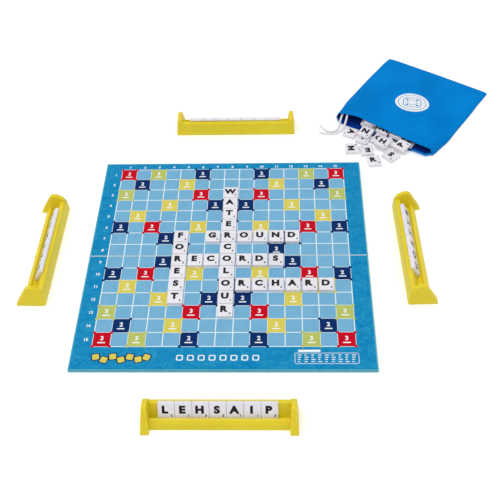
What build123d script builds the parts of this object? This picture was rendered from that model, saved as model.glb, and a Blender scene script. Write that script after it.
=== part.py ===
"""A word board game laid out for play: a folding board with tiles played on it, four tile racks
and a cloth tile bag with tiles spilling from its mouth. Millimetres, +Z up, the origin on the table
at the middle of the board's fold."""

import os
from math import atan, cos, degrees, radians, sin, tan

from build123d import *

os.makedirs("parts", exist_ok=True)

# Letter tiles
TILE_W = 18.6  # across the letter
TILE_D = 19.9  # along the letter
TILE_T = 4.6
TILE_CORNER_R = 1.3

# Board
SQUARE = 20.6  # centre to centre of the printed squares
SQUARES = 15
MARGIN_SIDE = 23.5
MARGIN_REAR = 13.2
MARGIN_FRONT = 33.8
BOARD_T = 4.0
PAPER_T = 0.3  # printed sheet and wrapping paper
WRAP_BORDER = 1.6  # wrapping paper left showing round the printed sheet
TURN_IN = 12.0  # wrapping paper turned in under the printed sheet
FOLD_GAP = 1.0  # clear width between the two halves
BOARD_W = SQUARES * SQUARE + 2 * MARGIN_SIDE
HALF_D = 8 * SQUARE + MARGIN_REAR

# Tiles played on the board, as row: columns, both counted from 1 at the rear left corner
PLAYED = {
    3: [8], 4: [8], 5: [8], 6: [8], 7: [5, 7, 8, 9, 10, 11, 12], 8: [5, 8],
    9: [5, 6, 7, 8, 9, 10, 11], 10: [5, 8], 11: [5, 8, 9, 10, 11, 12, 13, 14], 12: [5, 8], 13: [8],
}  # fmt: skip
LAST_REAR_ROW = 8

# Rack, drawn with x along its length, y from the foot tips to the back and z up
RACK_L = 172.6
RACK_CHEEK = 9.6  # thickness of an end cheek at its foot
RACK_LAP = 3.0  # how far each cheek's thickness runs past the end of the body between them
RACK_D = 36.0
RACK_WALL = 2.0
RACK_HORN_H = 29.0  # top of the end cheeks
RACK_REST_H = 19.8  # top of the face that the tiles lean on
RACK_DRAFT = 5.0  # degrees the cheeks' outer faces lean in
RACK_INNER_DRAFT = 4.0  # degrees the cheeks' inner faces lean out above the groove
RACK_EDGE_R = 1.4
RACK_RIB = 1.6
RACK_SEAT = (19.7, 7.0)  # where the tiles' lower front edge rests: in from the back, and up
RACK_LEAN = 62.0  # degrees between the tiles' faces and the table
RACK_GROOVE_GAP = 0.7  # between the tiles' lower front edge and the lip
RACK_TILE_GAP = 0.2  # between neighbouring tiles in a rack
RACK_LIP = [(9.8, 0.0), (7.4, 6.8), (4.2, 10.4), (1.7, 10.8)]  # its face, out from the seat and up
RACK_LEDGE = (0.3, 0.5)  # ledge behind that face: short of the cheeks' slope, and its fall
RACK_SHOULDER = (0.8, 16.0)  # where the back starts to slope, in from RACK_D and up
HORN_TOP = (18.4, 12.8)  # front and back of the cheeks' tops, in from RACK_D
HORN_BEVEL = (3.0, 2.2)  # y and z of the bevel in front of the cheeks' tops
HORN_REAR = (4.4, 23.7)  # the cheeks' upper rear corner, in from RACK_D and up
TIP_H = 1.8  # height of the cheeks' foot tips
RACK_PLACES = {  # x, y, turn about z in degrees, number of tiles, their shift along the rack
    "front": (0.2, -260.7, 0.0, 7, -1.6),
    "rear": (1.9, 281.0, 180.0, 7, 0.2),
    "left": (-256.4, 7.6, -90.8, 6, -6.1),
    "right": (255.0, 8.8, 91.6, 6, 9.0),
}

# Bag, drawn with x along its mouth and y from the mouth to its closed end
BAG_AT = (215.6, 238.9)
BAG_TURN = -33.8
BAG_CLEARED = (220.0, 40.0, 60.0)  # space over the lower cloth's lip that the cut takes
BAG_CLOTH = 1.2
BAG_LIP_Y = -8.0  # front edge of the lower cloth
BAG_HEM_Y = -1.0  # front edge of the raised upper cloth
BAG_END_Y = 173.0
BAG_LIP_CORNER = 16.0  # length over which the lower cloth's edge runs back at each side
BAG_SIDE = 2.6  # how far the hollow stops inside the side seams
BAG_X = [-1.0, -0.93, -0.775, -0.5, -0.26, -0.08, 0.11, 0.275, 0.5, 0.74, 0.88, 0.96, 1.0]
BAG_SECTIONS = [  # y, half widths to the left and right, heights of the upper cloth at BAG_X
    (BAG_LIP_Y, 77.5, 79.5, [1.6, 11.6, 16.1, 20.2, 18.4, 16.7, 14.2, 13.2, 13.9, 13.5, 13.7, 14.4, 1.6]),
    (40.0, 83.0, 85.0, [1.6, 8.0, 12.0, 15.0, 15.8, 15.6, 15.0, 14.0, 12.6, 10.6, 8.8, 6.2, 1.6]),
    (90.0, 85.0, 85.5, [1.6, 6.0, 8.8, 11.6, 13.0, 13.4, 13.2, 12.4, 10.6, 8.2, 6.4, 4.8, 1.6]),
    (140.0, 85.0, 84.5, [1.6, 4.0, 5.6, 7.2, 8.0, 8.3, 8.3, 7.9, 6.9, 5.6, 4.8, 3.9, 1.6]),
    (BAG_END_Y, 83.5, 84.0, [1.6, 2.9, 3.3, 3.5, 3.6, 3.7, 3.7, 3.6, 3.5, 3.3, 3.1, 2.9, 1.6]),
]

# Drawcord ends, centre-line points in the bag's own x, y and z
CORD_R = 1.6
CORD_A = [(-68.5, 2.0, 10.1), (-66.0, -9.5, 6.8), (-60.6, -22.5, CORD_R), (-64.5, -33.0, CORD_R),
          (-74.0, -36.5, CORD_R), (-84.5, -31.0, CORD_R)]  # fmt: skip
CORD_B = [(-60.5, 2.0, 12.7), (-56.0, -9.5, 7.6), (-54.8, -22.0, CORD_R), (-58.0, -32.5, CORD_R),
          (-66.0, -40.0, CORD_R), (-77.0, -43.0, CORD_R)]  # fmt: skip

# Tiles at the bag, in the bag's own frame
LAYER_1 = BAG_CLOTH + 0.3  # underside of a tile lying on the lower cloth
LAYER_2 = LAYER_1 + TILE_T
LAYER_3 = LAYER_2 + TILE_T
HEAP = [  # x, y, height of the underside, turn in degrees
    (-18.0, -23.5, 0.0, 5.0),
    (2.2, -14.0, LAYER_1, 0.0), (21.2, -7.0, LAYER_1, 0.0), (40.2, 5.0, LAYER_1, 0.0),
    (-23.0, 5.0, LAYER_1, 0.0), (-1.0, 7.2, LAYER_1, 2.0), (19.6, 14.2, LAYER_1, -3.0),
    (-25.0, 27.5, LAYER_1, 12.0), (-2.5, 30.0, LAYER_1, -4.0), (20.5, 36.5, LAYER_1, 9.0),
    (-27.5, 8.0, LAYER_2, 8.0), (-0.2, 4.8, LAYER_2, -3.0), (20.2, 8.0, LAYER_2, 4.0),
    (-13.0, 30.5, LAYER_2, 24.0), (12.5, 31.0, LAYER_2, -14.0),
    (-24.0, 9.0, LAYER_3, 17.0),
]  # fmt: skip
LOOSE = {  # x, y, height of the underside, turn in degrees, each lying flat
    "tile_loose_1": (-41.2, -21.4, 0.0, 6.8),
    "tile_loose_2": (-21.2, -50.7, 0.0, 34.8),
    "tile_loose_3": (-1.5, -42.6, 0.0, 38.8),
    "tile_loose_4": (18.6, -56.7, 0.0, 41.8),
    "tile_loose_5": (33.0, -34.5, 0.0, 73.8),
    "tile_loose_6": (12.5, -22.0, LAYER_2, 0.0),
    "tile_loose_7": (38.3, -13.0, LAYER_2, -6.2),
}
LEANING = (-19.8, -24.4, -4.95)  # x of the leaning tile, y of its low edge, y of the edge it leans on


def save(shape, label):
    """Label a finished shape and write it as one file."""
    shape.label = label
    export_step(shape, f"parts/{label}.step")


# One tile, standing on z = 0 at the origin. Every tile in the set is a copy of it.
with BuildPart() as tile:
    with BuildSketch():
        RectangleRounded(TILE_W, TILE_D, TILE_CORNER_R)
    extrude(amount=TILE_T)


def save_tiles(places, label):
    """Write copies of the tile at the given places as one file."""
    copies = [tile.part.moved(place) for place in places]
    save(copies[0] if len(copies) == 1 else Compound(children=copies), label)


def save_half(name, side, depth):
    """Write one half of the board: its grey core, its wrapping paper and its printed sheet.
    side is 1 for the rear half and -1 for the front half, depth its size from the fold."""
    inner = FOLD_GAP / 2
    mid = side * (inner + depth) / 2
    long = depth - inner
    window_w = BOARD_W - 2 * TURN_IN
    window_d = long - 2 * TURN_IN
    shell_top = BOARD_T - PAPER_T
    core_h = shell_top - 2 * PAPER_T
    sheet_w = BOARD_W - 2 * WRAP_BORDER
    sheet_d = long - 2 * WRAP_BORDER
    upward = (Align.CENTER, Align.CENTER, Align.MIN)

    with BuildPart() as core:
        with Locations((0, mid, PAPER_T)):
            Box(BOARD_W - 2 * PAPER_T, long - 2 * PAPER_T, core_h, align=upward)
        with Locations((0, mid, PAPER_T + core_h)):
            Box(window_w, window_d, PAPER_T, align=upward)
    save(core.part, f"{name}_core")

    with BuildPart() as wrap:
        with Locations((0, mid, 0)):
            Box(BOARD_W, long, shell_top, align=upward)
        with Locations((0, mid, PAPER_T)):
            Box(BOARD_W - 2 * PAPER_T, long - 2 * PAPER_T, core_h, align=upward, mode=Mode.SUBTRACT)
        with Locations((0, mid, PAPER_T + core_h)):
            Box(window_w, window_d, PAPER_T, align=upward, mode=Mode.SUBTRACT)
    save(wrap.part, f"{name}_wrap")

    with BuildPart() as sheet:
        with Locations((0, mid, shell_top)):
            Box(sheet_w, sheet_d, PAPER_T, align=upward)
    save(sheet.part, f"{name}_print")


save_half("board_rear", 1, HALF_D)
save_half("board_front", -1, 7 * SQUARE + MARGIN_FRONT)

with BuildPart() as fold_strip:
    Box(BOARD_W, FOLD_GAP, PAPER_T, align=(Align.CENTER, Align.CENTER, Align.MIN))
save(fold_strip.part, "fold_strip")

for row, columns in PLAYED.items():
    for column in columns:
        cell_x = (column - (SQUARES + 1) / 2) * SQUARE
        cell_y = (LAST_REAR_ROW + 0.5 - row) * SQUARE
        save_tiles([Location((cell_x, cell_y, BOARD_T))], f"tile_r{row:02d}_c{column:02d}")


def along(start, up, back):
    """A point of the rack's section, from a start point, up the tiles' lean and back into it."""
    lean_y, lean_z = cos(radians(RACK_LEAN)), sin(radians(RACK_LEAN))
    return (start[0] + up * lean_y + back * lean_z, start[1] + up * lean_z - back * lean_y)


# Rack section between the cheeks: lip, groove, leaning support face and back
seat = (RACK_D - RACK_SEAT[0], RACK_SEAT[1])
lip = [(seat[0] - out, up) for out, up in RACK_LIP]
seat_front = along(seat, 0.0, -RACK_GROOVE_GAP)
seat_back = along(seat, 0.0, TILE_T)
support_top = along(seat_back, (RACK_REST_H - seat_back[1]) / sin(radians(RACK_LEAN)), 0.0)
shoulder = (RACK_D - RACK_SHOULDER[0], RACK_SHOULDER[1])
horn_rear = (RACK_D - HORN_REAR[0], HORN_REAR[1])
ledge_z = RACK_REST_H - RACK_LEDGE[1]
slope = (shoulder[0] - horn_rear[0]) / (horn_rear[1] - shoulder[1])
ledge_back = (shoulder[0] - (ledge_z - shoulder[1]) * slope - RACK_LEDGE[0], ledge_z)
section = [*lip, seat_front, seat_back, support_top, ledge_back, shoulder, (RACK_D, 0.0)]

# Hollow under the section, one wall inside it
floor_back = along(seat_back, -RACK_WALL, RACK_WALL * 0.1)
hollow = [
    (lip[0][0] + RACK_WALL * 1.2, -1.0), (lip[1][0] + RACK_WALL, lip[1][1] - RACK_WALL * 0.4),
    along(seat_front, -RACK_WALL * 1.2, 0.4), floor_back, along(seat_back, -0.6, RACK_WALL),
    along(support_top, -RACK_WALL * 2.0, RACK_WALL), (shoulder[0] - RACK_WALL, shoulder[1] - 0.4),
    (RACK_D - RACK_WALL, -1.0),
]  # fmt: skip
horn_front, horn_back = (RACK_D - inward for inward in HORN_TOP)
cheek = [
    (0.0, 0.0), (0.0, TIP_H), (horn_front - HORN_BEVEL[0], RACK_HORN_H - HORN_BEVEL[1]),
    (horn_front, RACK_HORN_H), (horn_back, RACK_HORN_H), horn_rear, shoulder, (RACK_D, 0.0),
]  # fmt: skip

# One cheek, its inner face on x = 0 and its outer face towards +x
with BuildPart() as end_cheek:
    with BuildSketch(Plane.YZ):
        with BuildLine():
            Polyline(*cheek, close=True)
        make_face()
    extrude(amount=RACK_CHEEK)
    for at_x, at_z, lean, side in (
        (RACK_CHEEK, 0.0, -RACK_DRAFT, Align.MIN),
        (0.0, seat_front[1], RACK_INNER_DRAFT, Align.MAX),
    ):
        with Locations(Location((at_x, RACK_D / 2, at_z), (0.0, lean, 0.0))):
            Box(
                RACK_CHEEK, 2 * RACK_D, 2 * RACK_HORN_H,
                align=(side, Align.CENTER, Align.MIN),
                mode=Mode.SUBTRACT,
            )  # fmt: skip
    rims = end_cheek.edges().filter_by(
        lambda edge: edge.center().Z > TIP_H / 2
        and edge.length > 2.2 * RACK_EDGE_R
        and (edge.center().X > 0.55 * RACK_CHEEK or edge.center().Z > horn_rear[1] - RACK_EDGE_R)
    )
    fillet(rims, RACK_EDGE_R)

with BuildPart() as rack:
    with BuildSketch(Plane.YZ):
        with BuildLine():
            Polyline(*section, close=True)
        make_face()
    extrude(amount=RACK_L / 2 - RACK_LAP, both=True)
    cheek_at = Location((RACK_L / 2 - RACK_CHEEK, 0.0, 0.0))
    add(end_cheek.part.moved(cheek_at))
    add(end_cheek.part.moved(cheek_at).mirror(Plane.YZ))
    bay = (RACK_L - 2 * (RACK_LAP + 2 * RACK_WALL) - 3 * RACK_RIB) / 4
    for index in range(4):
        with BuildSketch(Plane.YZ.offset((index - 1.5) * (bay + RACK_RIB))):
            with BuildLine():
                Polyline(*hollow, close=True)
            make_face()
        extrude(amount=bay / 2, both=True, mode=Mode.SUBTRACT)

for name, (place_x, place_y, turn, count, shift) in RACK_PLACES.items():
    place = Location((place_x, place_y, 0.0), (0.0, 0.0, turn))
    save(rack.part.moved(place), f"rack_{name}")
    middle = along(seat, TILE_D / 2, TILE_T)
    step = TILE_W + RACK_TILE_GAP
    seats = [
        place * Location((shift + (index - (count - 1) / 2) * step, middle[0], middle[1]), (RACK_LEAN, 0, 0))
        for index in range(count)
    ]
    save_tiles(seats, f"rack_{name}_tiles")


bag_place = Location((*BAG_AT, 0.0), (0.0, 0.0, BAG_TURN))


def bag_outline(index, inset):
    """Closed outline of the bag's section in its own x and z: its outside, or with an inset at
    the side seams the outline of the hollow one cloth thickness inside it."""
    _, left, right, heights = BAG_SECTIONS[index]
    floor = BAG_CLOTH if inset else 0.0
    drop = 1.1 * BAG_CLOTH if inset else 0.0
    top = [
        (share * ((left if share < 0 else right) - inset), max(height - drop, floor + 0.5))
        for share, height in zip(BAG_X, heights)
    ]
    return [(top[0][0] + 1.5, floor), *top, (top[-1][0] - 1.5, floor)]


with BuildPart() as bag_cloth:
    for number, (station, *_) in enumerate(BAG_SECTIONS):
        with BuildSketch(Plane.XZ.offset(-station)):
            with BuildLine():
                Polyline(*bag_outline(number, 0.0), close=True)
            make_face()
    loft(ruled=True)
    with BuildPart(mode=Mode.PRIVATE) as bag_hollow:
        for number, (station, *_) in enumerate(BAG_SECTIONS):
            inner_station = station - 1.0 if number == 0 else station
            inner_station = BAG_END_Y - 3.0 if number == len(BAG_SECTIONS) - 1 else inner_station
            with BuildSketch(Plane.XZ.offset(-inner_station)):
                with BuildLine():
                    Polyline(*bag_outline(number, BAG_SIDE), close=True)
                make_face()
        loft(ruled=True)
    add(bag_hollow.part, mode=Mode.SUBTRACT)
    with Locations((0.0, BAG_HEM_Y, BAG_CLOTH)):
        Box(
            *BAG_CLEARED,
            align=(Align.CENTER, Align.MAX, Align.MIN),
            mode=Mode.SUBTRACT,
        )  # fmt: skip
    for side, half in ((-1, BAG_SECTIONS[0][1]), (1, BAG_SECTIONS[0][2])):
        with BuildSketch(Plane.XY):
            with BuildLine():
                Polyline(
                    (side * (half + 2.0), BAG_HEM_Y),
                    (side * (half + 2.0), BAG_LIP_Y - 1.0),
                    (side * (half - BAG_LIP_CORNER), BAG_LIP_Y - 1.0),
                    close=True,
                )
            make_face()
        extrude(amount=BAG_CLOTH + 1.0, mode=Mode.SUBTRACT)
save(bag_cloth.part.moved(bag_place), "bag_cloth")


def corner_radii(points):
    """Bend radius at each inner point of a route, 0.45 of the shorter run next to it."""
    radii = []
    for before, at, after in zip(points, points[1:], points[2:]):
        run_in, run_out = Vector(*at) - Vector(*before), Vector(*after) - Vector(*at)
        half_turn = radians(run_in.get_angle(run_out)) / 2
        radii.append(0.45 * min(run_in.length, run_out.length) / tan(half_turn))
    return radii


def save_cord(points, label):
    """Write a cord of round section laid along tangent arcs through the points."""
    radii = corner_radii(points)
    print(label, "bend radii", [round(radius, 1) for radius in radii])
    with BuildPart() as cord:
        with BuildLine() as route:
            FilletPolyline(*points, radius=radii)
        with BuildSketch(Plane(origin=route.line @ 0, z_dir=route.line % 0)):
            Circle(CORD_R)
        sweep()
    save(cord.part.moved(bag_place), label)


save_cord(CORD_A, "drawcord_a")
save_cord(CORD_B, "drawcord_b")

save_tiles([bag_place * Location((x, y, z), (0, 0, turn)) for x, y, z, turn in HEAP], "tile_heap")
for label, (x, y, z, turn) in LOOSE.items():
    save_tiles([bag_place * Location((x, y, z), (0, 0, turn))], label)
lean_x, low_y, high_y = LEANING
lean_angle = degrees(atan((LAYER_2 - TILE_T) / (high_y - low_y)))
leaning_place = Location((lean_x, low_y, TILE_T), (lean_angle, 0, 0)) * Location((0, TILE_D / 2, 0))
save_tiles([bag_place * leaning_place], "tile_loose_8")
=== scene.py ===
"""Looks of a word board game laid out in mid game: a folding board with crossed words of letter
tiles, four moulded racks of tiles and a cloth drawstring bag with more tiles spilling out.

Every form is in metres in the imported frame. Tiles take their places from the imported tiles.
"""

import logging
import math
from dataclasses import dataclass
from enum import Enum
from typing import Any, Sequence

import bmesh
import bpy
import numpy as np
from mathutils import Matrix, Vector


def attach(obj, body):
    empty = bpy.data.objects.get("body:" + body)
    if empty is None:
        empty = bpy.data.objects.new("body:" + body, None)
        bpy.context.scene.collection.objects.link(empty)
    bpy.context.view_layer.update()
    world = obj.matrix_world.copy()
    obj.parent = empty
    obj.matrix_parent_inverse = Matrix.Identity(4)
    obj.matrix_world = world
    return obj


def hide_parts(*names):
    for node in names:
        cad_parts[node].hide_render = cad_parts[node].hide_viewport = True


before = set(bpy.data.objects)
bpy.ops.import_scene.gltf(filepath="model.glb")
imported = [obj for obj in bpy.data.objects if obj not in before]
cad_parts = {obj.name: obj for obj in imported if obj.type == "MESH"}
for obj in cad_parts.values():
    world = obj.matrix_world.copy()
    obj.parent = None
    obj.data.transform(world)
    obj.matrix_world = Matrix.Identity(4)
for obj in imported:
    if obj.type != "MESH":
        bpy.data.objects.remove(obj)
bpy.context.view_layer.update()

LOG = logging.getLogger("scene")
MM = 0.001

Points = np.ndarray
Faces = list[tuple[int, ...]]
Triple = tuple[float, float, float]
Pair = tuple[float, float]

QUARTERS = ((1, 1), (-1, 1), (-1, -1), (1, -1))
SOFT = 60.0  # degrees under which cloth and cord shade as one surface


def mm(*sizes: float) -> tuple[float, ...]:
    """Sizes in millimetres as metres."""
    return tuple(size * MM for size in sizes)


class Half(Enum):
    """The two halves of the board, each with the body it rides on."""

    REAR = "board_rear"
    FRONT = "board_front"


class Part(Enum):
    """Which printed area a piece of the board's sheet belongs to, as a material index."""

    MARGIN = 0
    LINE = 1
    CELL = 2
    NAVY = 3
    RED = 4
    YELLOW = 5
    LIME = 6


def paint(code: str) -> tuple[float, float, float, float]:
    """Turns a screen colour such as "0A2E6E" into Blender's linear colour.

    A small share is divided by 12.92. Any other is moved by 0.055 and raised to the power 2.4.

    Args:
        code: six hexadecimal digits, red, green, blue.

    Returns:
        The linear colour with full alpha.
    """
    shares = [int(code[at : at + 2], 16) / 255 for at in (0, 2, 4)]
    linear = [share / 12.92 if share <= 0.04045 else ((share + 0.055) / 1.055) ** 2.4 for share in shares]
    return (linear[0], linear[1], linear[2], 1.0)


class Wire:
    """One output socket of a node tree. Arithmetic on it adds Math nodes to the tree."""

    def __init__(self, recipe: "Recipe", socket: bpy.types.NodeSocket) -> None:
        """Wraps an output of one of a recipe's nodes."""
        self.recipe = recipe
        self.socket = socket

    def _math(self, operation: str, *values: "Wire | float") -> "Wire":
        """The output of a new Math node with these values."""
        return self.recipe.node("ShaderNodeMath", {"operation": operation}, dict(enumerate(values)))

    def __add__(self, other: "Wire | float") -> "Wire":
        """This value and another together."""
        return self._math("ADD", self, other)

    def __radd__(self, other: float) -> "Wire":
        """A number and this value together."""
        return self._math("ADD", other, self)

    def __sub__(self, other: "Wire | float") -> "Wire":
        """This value less another."""
        return self._math("SUBTRACT", self, other)

    def __rsub__(self, other: float) -> "Wire":
        """A number less this value."""
        return self._math("SUBTRACT", other, self)

    def __mul__(self, other: "Wire | float") -> "Wire":
        """This value times another."""
        return self._math("MULTIPLY", self, other)

    def __abs__(self) -> "Wire":
        """This value without its sign."""
        return self._math("ABSOLUTE", self)

    def sine(self) -> "Wire":
        """The sine of this value in radians."""
        return self._math("SINE", self)

    def ramp(self, low: float, high: float) -> "Wire":
        """This value spread so that low gives 0 and high gives 1, held between them."""
        inputs = {0: self, 1: low, 2: high, 3: 0.0, 4: 1.0}
        return self.recipe.node("ShaderNodeMapRange", {"clamp": True}, inputs)


class Recipe:
    """A material or a world under construction: its node tree and the shader at its end."""

    def __init__(self, name: str, world: bool = False) -> None:
        """Starts a new material or world.

        Args:
            name: its name.
            world: whether it is a world.
        """
        self.material = bpy.data.worlds.new(name) if world else bpy.data.materials.new(name)
        self.material.use_nodes = True
        self.tree = self.material.node_tree
        self.shader = self.tree.nodes["Background" if world else "Principled BSDF"]

    def node(
        self,
        kind: str,
        settings: dict[str, Any] | None = None,
        inputs: dict[int | str, Any] | None = None,
        output: int | str = 0,
    ) -> Wire:
        """Adds one node.

        Args:
            kind: the node's type name.
            settings: attributes to set on it.
            inputs: values or wires by input name or number.
            output: which output to return.

        Returns:
            The wire from the chosen output.
        """
        made = self.tree.nodes.new(kind)
        for key, value in (settings or {}).items():
            setattr(made, key, value)
        for key, value in (inputs or {}).items():
            if isinstance(value, Wire):
                self.tree.links.new(value.socket, made.inputs[key])
            else:
                made.inputs[key].default_value = value
        return Wire(self, made.outputs[output])

    def spread(self, spot: Wire, size: Sequence[float], turn: float = 0.0) -> Wire:
        """A spot's coordinates stretched by size and turned about z."""
        inputs = {"Vector": spot, "Rotation": (0, 0, turn), "Scale": size}
        return self.node("ShaderNodeMapping", inputs=inputs)

    def place(self, size: Sequence[float] = (1.0, 1.0, 1.0), turn: float = 0.0) -> Wire:
        """The point's own coordinates in metres, stretched by size and turned about z."""
        return self.spread(self.node("ShaderNodeTexCoord", output="Object"), size, turn)

    def noise(
        self, per_metre: float, place: Wire | None = None, detail: float = 3.0, rough: float = 0.5
    ) -> Wire:
        """Smooth noise about 0 to 1 with so many grains to a metre."""
        inputs = {"Vector": place or self.place(), "Scale": per_metre, "Detail": detail, "Roughness": rough}
        return self.node("ShaderNodeTexNoise", inputs=inputs)

    def mix(self, share: Wire, low: Any, high: Any) -> Wire:
        """A colour between low and high."""
        return self.node("ShaderNodeMix", {"data_type": "RGBA"}, {0: share, 6: low, 7: high}, output=2)

    def bump(self, height: Wire, depth: float, strength: float = 1.0) -> Wire:
        """A surface normal tilted by a height of so many metres."""
        inputs = {"Height": height, "Distance": depth, "Strength": strength}
        return self.node("ShaderNodeBump", inputs=inputs)

    def weave_uv(self) -> tuple[Wire, Wire, Wire]:
        """The piece's own UV named weave.

        Returns:
            The whole of it, and its two parts.
        """
        spot = self.node("ShaderNodeUVMap", {"uv_map": "weave"})
        split = self.node("ShaderNodeSeparateXYZ", inputs={0: spot})
        return spot, split, Wire(self, split.socket.node.outputs[1])

    def cloud(self, spot: Wire, size: Sequence[float], detail: float) -> Wire:
        """Noise over a UV that is stretched by size."""
        return self.noise(1.0, self.spread(spot, size), detail=detail)

    def seen(self) -> Wire:
        """Tells the rays that show this to the eye, straight, mirrored or through glass.

        Returns:
            1 for such a ray, else 0.
        """
        kinds = ("Camera", "Glossy", "Transmission")
        straight, mirrored, through = (
            self.node("ShaderNodeLightPath", output=f"Is {kind} Ray") for kind in kinds
        )
        return (straight + mirrored + through).ramp(0.0, 1.0)

    def feed(self, name: str, value: Any) -> None:
        """Joins a wire to an input of the shader, or sets a number or colour there.

        Args:
            name: the input.
            value: what goes there, or None to leave it as it is.
        """
        if isinstance(value, Wire):
            self.tree.links.new(value.socket, self.shader.inputs[name])
        elif value is not None:
            self.shader.inputs[name].default_value = value

    def end(
        self, colour: Any, roughness: Any, normal: Wire | None = None, **others: float
    ) -> bpy.types.Material:
        """Joins colour, roughness and normal to the shader and gives the material.

        Args:
            colour: a wire or a linear colour.
            roughness: a wire or a number.
            normal: the bumped normal, if any.
            others: further constants by input name, with _ for a space.

        Returns:
            The finished material.
        """
        for name, value in (("Base Color", colour), ("Roughness", roughness), ("Normal", normal)):
            self.feed(name, value)
        for name, value in others.items():
            self.feed(name.replace("_", " "), value)
        return self.material


@dataclass(frozen=True)
class Finish:
    """What every finish has: a name, a colour, and a shade that the colour drifts to."""

    name: str
    colour: str
    shade: str

    def tint(self, recipe: Recipe, share: Wire) -> Wire:
        """The colour where share is 0, and the shade where it is 1."""
        return recipe.mix(share, paint(self.colour), paint(self.shade))

    def make(self) -> bpy.types.Material:
        """Builds the material, in each kind of finish in its own way."""
        raise NotImplementedError


@dataclass(frozen=True)
class Plastic(Finish):
    """Moulded plastic with a fine eroded grain, slight unevenness of colour and soft shine."""

    roughness: float = 0.38
    grain: float = 0.00001
    glow: float = 0.0
    gloss: float = 0.4
    clouds: float = 26.0
    wear: float = 160.0
    pits: float = 2600.0

    def make(self) -> bpy.types.Material:
        """Builds the material: cloudy colour, worn shine and a bump of fine grain.

        Returns:
            The material.
        """
        recipe = Recipe(self.name)
        colour = self.tint(recipe, recipe.noise(self.clouds, detail=2.0).ramp(0.3, 0.75))
        shine = self.roughness + recipe.noise(self.wear) * 0.12
        normal = recipe.bump(recipe.noise(self.pits, detail=1.0), self.grain, 0.6)
        return recipe.end(
            colour, shine, normal,
            Subsurface_Weight=self.glow, Subsurface_Scale=0.004, Specular_IOR_Level=self.gloss,
        )  # fmt: skip


@dataclass(frozen=True)
class Paper(Finish):
    """Printed or lining paper: ink laid unevenly, with brushed streaks and a fibre bump."""

    streaks: Pair = (60.0, 60.0)
    contrast: Pair = (0.3, 0.7)
    roughness: float = 0.5
    gloss: float = 0.12
    fleck: str = ""
    stroke: str = ""
    swirls: Triple = (95.0, 150.0, 60.0)
    contours: Pair = (0.42, 0.56)
    fibres: float = 1500.0

    def make(self) -> bpy.types.Material:
        """Builds the material: two scales of streaks between the colours, and paper fibres.

        Brushed lines, dark and light, follow two contours of a swirling noise.

        Returns:
            The material.
        """
        recipe = Recipe(self.name)
        along, across = self.streaks
        broad = recipe.noise(1.0, recipe.place((along, across, 40.0)), detail=5.0, rough=0.6)
        fine = recipe.noise(1.0, recipe.place((across * 3.1, along * 2.3, 60.0), 0.6), detail=3.0)
        blend = (broad * 0.65 + fine * 0.35).ramp(*self.contrast)
        colour = self.tint(recipe, blend)
        if self.fleck:
            swirl = recipe.noise(1.0, recipe.place(self.swirls, 0.3), detail=2.0, rough=0.4)
            dark, light = (1 - abs(swirl - level).ramp(0.0, 0.04) for level in self.contours)
            colour = recipe.mix(dark * 0.35, colour, paint(self.stroke))
            colour = recipe.mix(light * 0.45, colour, paint(self.fleck))
        shine = self.roughness + fine * 0.1
        normal = recipe.bump(recipe.noise(self.fibres, detail=2.0), 0.00002, 0.5)
        return recipe.end(colour, shine, normal, Specular_IOR_Level=self.gloss)


@dataclass(frozen=True)
class Cloth(Finish):
    """Woven nylon: warp and weft threads from the cloth's own UV, thread to thread tint, a low specular
    shine.
    """

    threads: float = 1400.0
    roughness: float = 0.72
    gloss: float = 0.06
    billows: Triple = (17.0, 12.0, 1.0)
    crumple: Triple = (95.0, 60.0, 1.0)

    def make(self) -> bpy.types.Material:
        """Builds the material: a plain weave of sines over the UV in metres, and soft ridges.

        Returns:
            The material.
        """
        recipe = Recipe(self.name)
        spot, across, along = recipe.weave_uv()
        warp, weft = ((way * (self.threads * math.tau)).sine() for way in (across, along))
        weave = warp * weft * 0.5 + 0.5
        slack = recipe.cloud(spot, self.billows, 4.0)
        colour = self.tint(recipe, slack.ramp(0.28, 0.6) * 0.8 + weave * 0.2)
        creases = recipe.cloud(spot, self.crumple, 2.0)
        ridges = (1 - abs(slack - 0.5) * 2).ramp(0.82, 1.0)
        normal = recipe.bump(weave * 0.05 + creases * 0.5 + ridges * 0.9, 0.001, 0.5)
        shine = self.roughness + slack * 0.1
        return recipe.end(colour, shine, normal, Specular_IOR_Level=self.gloss)


@dataclass(frozen=True)
class Ink(Finish):
    """A printed layer: near flat, with the slightly uneven cover of a screen print."""

    roughness: float = 0.45
    mottles: float = 700.0
    pits: float = 3000.0

    def make(self) -> bpy.types.Material:
        """Builds the material: a mottled ink with a little less shine where it is thin.

        Returns:
            The material.
        """
        recipe = Recipe(self.name)
        mottle = recipe.noise(self.mottles, detail=3.0).ramp(0.35, 0.75)
        colour = self.tint(recipe, mottle)
        normal = recipe.bump(recipe.noise(self.pits, detail=1.0), 0.000008, 0.5)
        return recipe.end(colour, self.roughness + mottle * 0.12, normal, Specular_IOR_Level=0.2)


@dataclass(frozen=True)
class Twine(Finish):
    """Soft braided cord: slanting strands that cross, from the tube's own UV."""

    strands: float = 8.0
    pitch: float = 0.006

    def make(self) -> bpy.types.Material:
        """Builds the material: two sets of slanting sines make the braid's diamonds, with painted shade in
        the grooves between strands.

        Returns:
            The material.
        """
        recipe = Recipe(self.name)
        _, turn, run = recipe.weave_uv()
        around, along = turn * (self.strands * math.tau), run * (math.tau / self.pitch)
        braid = abs((around + along).sine()) * abs((around - along).sine())
        # the grooves between strands take the darker colour: painted shade
        colour = recipe.mix(braid.ramp(0.0, 0.5), paint(self.shade), paint(self.colour))
        normal = recipe.bump(braid + recipe.noise(2500.0) * 0.4, 0.00012, 0.6)
        return recipe.end(colour, 0.85, normal, Sheen_Weight=0.2)


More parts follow.
